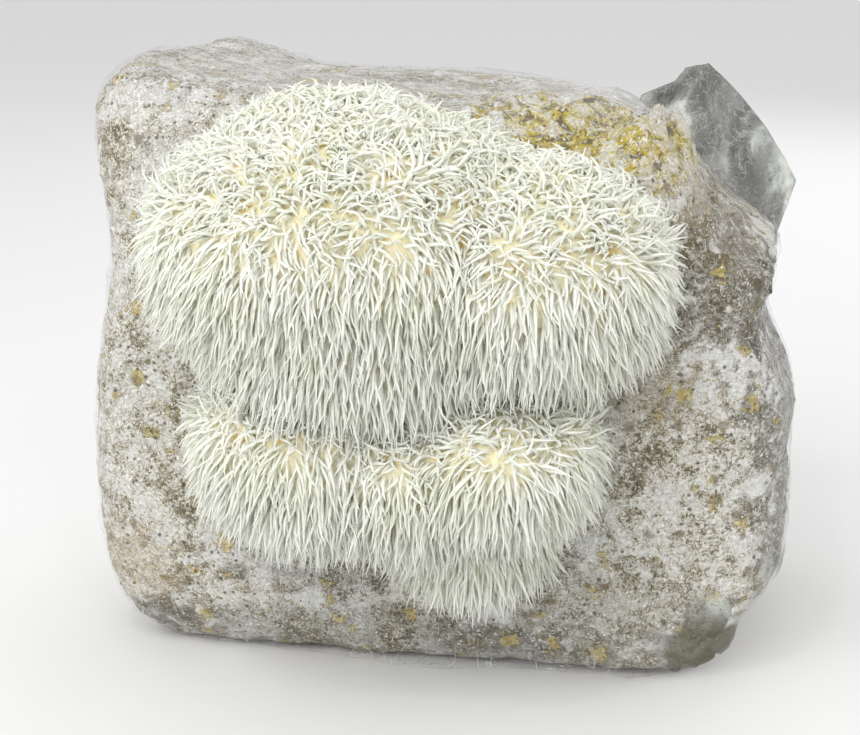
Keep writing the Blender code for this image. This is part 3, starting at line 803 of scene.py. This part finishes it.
def spine_tree():
    """Geometry nodes that grow tapered, drooping spines from one lobe of the flesh."""
    tree = bpy.data.node_groups.new("Grow Spines", "GeometryNodeTree")
    sockets = (
        ("Geometry", "NodeSocketGeometry"), ("First Lobe", "NodeSocketInt"),
        ("Last Lobe", "NodeSocketInt"), ("Spacing", "NodeSocketFloat"),
        ("Crown Length", "NodeSocketFloat"), ("Side Length", "NodeSocketFloat"),
        ("Fringe Length", "NodeSocketFloat"), ("Thickness", "NodeSocketFloat"),
        ("Curl", "NodeSocketFloat"), ("Seed", "NodeSocketInt"), ("Material", "NodeSocketMaterial"),
    )
    for name, kind in sockets:
        tree.interface.new_socket(name, in_out="INPUT", socket_type=kind)
    tree.interface.new_socket("Geometry", in_out="OUTPUT", socket_type="NodeSocketGeometry")
    nodes = Nodes(tree)
    given = nodes.add("NodeGroupInput").outputs

    def named(name, kind="FLOAT"):
        return nodes.add("GeometryNodeInputNamedAttribute", {"Name": name}, data_type=kind).outputs[0]

    def stored(geometry, name, value, kind="FLOAT", domain="POINT"):
        inputs = {"Geometry": geometry, "Name": name, "Value": value}
        node = nodes.add("GeometryNodeStoreNamedAttribute", data_type=kind, domain=domain)
        for key, put in inputs.items():
            nodes.put(node.inputs[key], put)
        return node.outputs[0]

    def drawn(low, high, step, kind="FLOAT"):
        node = nodes.add("FunctionNodeRandomValue", data_type=kind)
        enabled = [socket for socket in node.inputs if socket.enabled]
        nodes.put(enabled[0], low)
        nodes.put(enabled[1], high)
        nodes.put(node.inputs["Seed"], nodes.math("ADD", given["Seed"], step))
        return next(out for out in node.outputs if out.enabled)

    lobe = named("lobe", "INT")
    after = nodes.math("GREATER_THAN", lobe, nodes.math("SUBTRACT", given["First Lobe"], 0.5))
    before = nodes.math("LESS_THAN", lobe, nodes.math("ADD", given["Last Lobe"], 0.5))
    ours = nodes.math("MULTIPLY", after, before)
    part = nodes.add("GeometryNodeSeparateGeometry", {"Geometry": given["Geometry"], "Selection": ours},
                     domain="FACE").outputs[0]
    density = nodes.math("DIVIDE", 1.6, nodes.math("MULTIPLY", given["Spacing"], given["Spacing"]))
    scattered = nodes.add("GeometryNodeDistributePointsOnFaces", distribute_method="POISSON")
    nodes.put(scattered.inputs["Mesh"], part)
    nodes.put(scattered.inputs["Distance Min"], given["Spacing"])
    nodes.put(scattered.inputs["Density Max"], density)
    nodes.put(scattered.inputs["Density Factor"], named("grows"))
    nodes.put(scattered.inputs["Seed"], given["Seed"])
    points, normal = scattered.outputs["Points"], scattered.outputs["Normal"]
    points = stored(points, "away", normal, "FLOAT_VECTOR")
    upward = nodes.add("ShaderNodeSeparateXYZ", {0: named("away", "FLOAT_VECTOR")}).outputs["Z"]
    hangs = nodes.ranged(upward, 0.25, -0.45)
    to_side = nodes.ranged(upward, 0.55, -0.15)
    to_fringe = nodes.ranged(upward, 0.0, -0.55)
    length = nodes.add("ShaderNodeMix", {"Factor": to_side, 2: given["Crown Length"],
                                         3: given["Side Length"]}).outputs[0]
    length = nodes.add("ShaderNodeMix", {"Factor": to_fringe, 2: length,
                                         3: given["Fringe Length"]}).outputs[0]
    length = nodes.math("MULTIPLY", length, drawn(0.65, 1.30, 1))
    length = nodes.math("MULTIPLY", length, named("room"))
    points = stored(points, "length", length)
    points = stored(points, "hangs", hangs)
    points = stored(points, "tone", drawn(0.0, 1.0, 2))
    points = stored(points, "girth", drawn(0.75, 1.1, 3))
    chance = drawn((-1.0, -1.0, -1.0), (1.0, 1.0, 1.0), 4, "FLOAT_VECTOR")
    place = nodes.add("GeometryNodeInputPosition").outputs[0]
    swirl = nodes.noise(place, 9 * MM, detail=1.0).outputs["Color"]
    swirl = nodes.scaled(nodes.vector("SUBTRACT", swirl, (0.5, 0.5, 0.5)), 4.0)
    sideways = nodes.vector("CROSS_PRODUCT", normal, nodes.vector("ADD", swirl, nodes.scaled(chance, 0.9)))
    sideways = nodes.vector("NORMALIZE", sideways)
    top = nodes.ranged(upward, -0.25, 0.75)
    weight = nodes.math("SUBTRACT", 1.0, top)
    start = nodes.scaled(normal, nodes.ranged(top, 0.0, 1.0, 0.62, 1.0, smooth=False))
    start = nodes.vector("ADD", start, nodes.scaled(tuple(DOWN), nodes.math("MULTIPLY", weight, 0.72)))
    start = nodes.vector("ADD", start, nodes.scaled(chance, 0.34))
    points = stored(points, "start", nodes.vector("NORMALIZE", start), "FLOAT_VECTOR")
    aside = nodes.math("ADD", 0.50, nodes.math("MULTIPLY", top, 0.60))
    aside = nodes.math("MULTIPLY", aside, nodes.math("SUBTRACT", 1.0, nodes.math("MULTIPLY", hangs, 0.8)))
    over = nodes.vector("ADD", nodes.scaled(tuple(DOWN), nodes.math("ADD", weight, 0.22)),
                        nodes.scaled(sideways, aside))
    flat = nodes.vector("MULTIPLY", normal, (1.0, 1.0, 0.0))
    over = nodes.vector("ADD", over, nodes.scaled(flat, nodes.math("MULTIPLY", top, 0.7)))
    points = stored(points, "over", nodes.vector("NORMALIZE", over), "FLOAT_VECTOR")
    points = stored(points, "sideways", sideways, "FLOAT_VECTOR")
    arc = nodes.math("MULTIPLY", given["Curl"], nodes.math("ADD", 0.42, nodes.math("MULTIPLY", top, 0.58)))
    arc = nodes.math("MULTIPLY", arc, nodes.math("SUBTRACT", 1.0, nodes.math("MULTIPLY", hangs, 0.65)))
    points = stored(points, "arc", nodes.math("MULTIPLY", arc, drawn(0.5, 1.5, 6)))
    points = stored(points, "phase", drawn(0.0, 6.28, 5))
    points = stored(points, "root", nodes.add("GeometryNodeInputPosition").outputs[0], "FLOAT_VECTOR")

    line = nodes.add("GeometryNodeCurvePrimitiveLine").outputs[0]
    line = nodes.add("GeometryNodeResampleCurve", {"Curve": line, "Count": 6}).outputs[0]
    spines = nodes.add("GeometryNodeInstanceOnPoints", {"Points": points, "Instance": line}).outputs[0]
    spines = nodes.add("GeometryNodeRealizeInstances", {"Geometry": spines}).outputs[0]
    t = nodes.add("GeometryNodeSplineParameter").outputs["Factor"]
    turned = nodes.math("MULTIPLY", named("arc"), t)
    outward = nodes.math("DIVIDE", nodes.math("SINE", turned), named("arc"))
    bent = nodes.math("SUBTRACT", 1.0, nodes.math("COSINE", turned))
    bent = nodes.math("DIVIDE", bent, named("arc"))
    wave = nodes.math("SINE", nodes.math("ADD", nodes.math("MULTIPLY", t, 5.5), named("phase")))
    wave = nodes.math("MULTIPLY", nodes.math("MULTIPLY", wave, t), 0.09)
    path = nodes.vector("ADD", nodes.scaled(named("start", "FLOAT_VECTOR"), outward),
                        nodes.scaled(named("over", "FLOAT_VECTOR"), bent))
    path = nodes.vector("ADD", path, nodes.scaled(named("sideways", "FLOAT_VECTOR"), wave))
    place = nodes.vector("ADD", named("root", "FLOAT_VECTOR"), nodes.scaled(path, named("length")))
    place = nodes.vector("ADD", place, nodes.scaled(named("away", "FLOAT_VECTOR"), -0.8 * MM))
    spines = nodes.add("GeometryNodeSetPosition", {"Geometry": spines, "Position": place}).outputs[0]
    taper = nodes.math("SUBTRACT", 1.0, nodes.math("MULTIPLY", nodes.math("POWER", t, 1.5), 0.90))
    radius = nodes.math("MULTIPLY", nodes.math("MULTIPLY", given["Thickness"], 0.5), named("girth"))
    radius = nodes.math("MULTIPLY", radius, taper)
    spines = stored(spines, "along", t)
    round_section = nodes.add("GeometryNodeCurvePrimitiveCircle", {"Resolution": 4, "Radius": 1.0})
    tubes = nodes.add("GeometryNodeCurveToMesh", {"Curve": spines, "Scale": radius, "Fill Caps": True})
    nodes.put(tubes.inputs["Profile Curve"], round_section.outputs[0])
    mesh = nodes.add("GeometryNodeRealizeInstances", {"Geometry": tubes.outputs[0]}).outputs[0]
    mesh = nodes.add("GeometryNodeSetMaterial", {"Geometry": mesh, "Material": given["Material"]}).outputs[0]
    nodes.put(nodes.add("NodeGroupOutput").inputs[0], mesh)
    return tree


def set_inputs(modifier, values):
    """Sets a geometry nodes modifier's inputs, named as in its tree."""
    for item in modifier.node_group.interface.items_tree:
        if item.in_out == "INPUT" and item.name in values:
            modifier[item.identifier] = values[item.name]


class MUSHROOM_OT_mushroom(bpy.types.Operator):
    """Make the mushroom's flesh and grow its spines"""
    bl_idname = "mushroom.mushroom"
    bl_label = "Mushroom"

    def execute(self, context):
        settings = context.scene.mushroom_spines
        mesh = flesh_mesh()
        bag_tree = clamp_to_bag(mesh)
        paint_growth(mesh, bag_tree)
        ivory = spine_material(settings)
        tree = spine_tree()
        order = list(LOBES)
        for name, lobes in SPINE_PIECES.items():
            parts = []
            for lobe in lobes:
                carrier = scratch_object(mesh.copy())
                modifier = carrier.modifiers.new("spines", "NODES")
                modifier.node_group = tree
                set_inputs(modifier, {
                    "First Lobe": order.index(lobe), "Last Lobe": order.index(lobe),
                    "Spacing": settings.spacing, "Crown Length": settings.crown_length,
                    "Side Length": settings.side_length, "Fringe Length": settings.fringe_length,
                    "Thickness": settings.thickness, "Curl": settings.curl,
                    "Seed": settings.seed + order.index(lobe), "Material": ivory,
                })
                parts.append(baked_mesh(carrier, name))
            bm = bmesh.new()
            for part in parts:
                bm.from_mesh(part)
            grown = mesh_of(bm, name)
            print("SPINES", name, sum(len(face.vertices) - 2 for face in grown.polygons))
            new_piece(name, grown, ivory, "mushroom")
        new_piece("flesh", mesh, flesh_material(settings), "mushroom")
        return {"FINISHED"}


def area_light(name, place, target, size, power, colour=(1.0, 1.0, 1.0)):
    light = bpy.data.lights.new(name, "AREA")
    light.shape = "SQUARE"
    light.size = size
    light.energy = power
    light.color = colour
    lamp = bpy.data.objects.new(name, light)
    bpy.context.scene.collection.objects.link(lamp)
    aim = (place - target).to_track_quat("Z", "Y")
    lamp.matrix_world = Matrix.Translation(place) @ aim.to_matrix().to_4x4()


class MUSHROOM_OT_stage(bpy.types.Operator):
    """Make the floor, the soft lights and the camera"""
    bl_idname = "mushroom.stage"
    bl_label = "Stage"

    def execute(self, context):
        settings = context.scene.mushroom_stage
        bpy.ops.mesh.primitive_plane_add(size=6.0)
        floor = context.object
        floor.name = "floor"
        material, nodes, shader = new_material("pale_floor")
        shader.inputs["Base Color"].default_value = settings.floor_colour
        shader.inputs["Roughness"].default_value = 0.9
        floor.data.materials.append(material)
        world = bpy.data.worlds.new("soft sky")
        world.use_nodes = True
        sky = world.node_tree.nodes["Background"].inputs
        sky["Color"].default_value = (1.0, 1.0, 1.0, 1.0)
        sky["Strength"].default_value = 0.77
        context.scene.world = world
        area_light("key", MIDDLE + Vector((-0.32, -0.88, 0.68)), MIDDLE, 0.9, settings.key_power)
        for place in ((-0.60, -0.70, 0.70), (0.35, -0.85, 0.75), (-0.10, -0.60, 0.95)):
            area_light("glint", MIDDLE + Vector(place), MIDDLE, 0.07, settings.key_power * 0.10)
        area_light("fill", MIDDLE + Vector((0.8, -0.5, 0.5)), MIDDLE, 0.8, settings.key_power * 0.08)
        area_light("back", MIDDLE + Vector((0.3, 0.9, 0.7)), MIDDLE, 0.8, settings.key_power * 0.4)
        azimuth, elevation = CAMERA_AZIMUTH, CAMERA_ELEVATION
        flat = math.cos(elevation)
        back = Vector((math.sin(azimuth) * flat, -math.cos(azimuth) * flat, math.sin(elevation)))
        data = bpy.data.cameras.new("camera")
        data.sensor_width = SENSOR
        data.lens = FOCAL_PIXELS * SENSOR / PICTURE_WIDTH
        camera = bpy.data.objects.new("camera", data)
        context.scene.collection.objects.link(camera)
        place = MIDDLE + CAMERA_TARGET + back * CAMERA_DISTANCE
        camera.matrix_world = Matrix.Translation(place) @ back.to_track_quat("Z", "Y").to_matrix().to_4x4()
        context.scene.camera = camera
        context.scene.view_settings.view_transform = "Standard"
        return {"FINISHED"}


class MUSHROOM_PT_panel(bpy.types.Panel):
    """Lists the mushroom's settings and what makes it"""
    bl_idname = "MUSHROOM_PT_panel"
    bl_label = "Lion's Mane"
    bl_space_type = "VIEW_3D"
    bl_region_type = "UI"
    bl_category = "Mushroom"

    def draw(self, context):
        for name in SETTINGS:
            group = getattr(context.scene, name)
            for key in group.__annotations__:
                self.layout.prop(group, key)
        for operator in OPERATORS:
            self.layout.operator(operator.bl_idname)


SETTINGS = {
    "mushroom_spines": SpineSettings, "mushroom_block": BlockSettings,
    "mushroom_film": FilmSettings, "mushroom_stage": StageSettings,
}
OPERATORS = (MUSHROOM_OT_stage, MUSHROOM_OT_block, MUSHROOM_OT_film, MUSHROOM_OT_mushroom)
CLASSES = (*SETTINGS.values(), *OPERATORS, MUSHROOM_PT_panel)


def register():
    for made in CLASSES:
        bpy.utils.register_class(made)
    for name, group in SETTINGS.items():
        setattr(bpy.types.Scene, name, bpy.props.PointerProperty(type=group))


def unregister():
    for name in SETTINGS:
        delattr(bpy.types.Scene, name)
    for made in reversed(CLASSES):
        bpy.utils.unregister_class(made)


def main():
    register()
    bpy.ops.mushroom.stage()
    bpy.ops.mushroom.block()
    bpy.ops.mushroom.film()
    bpy.ops.mushroom.mushroom()


if __name__ == "__main__":
    main()
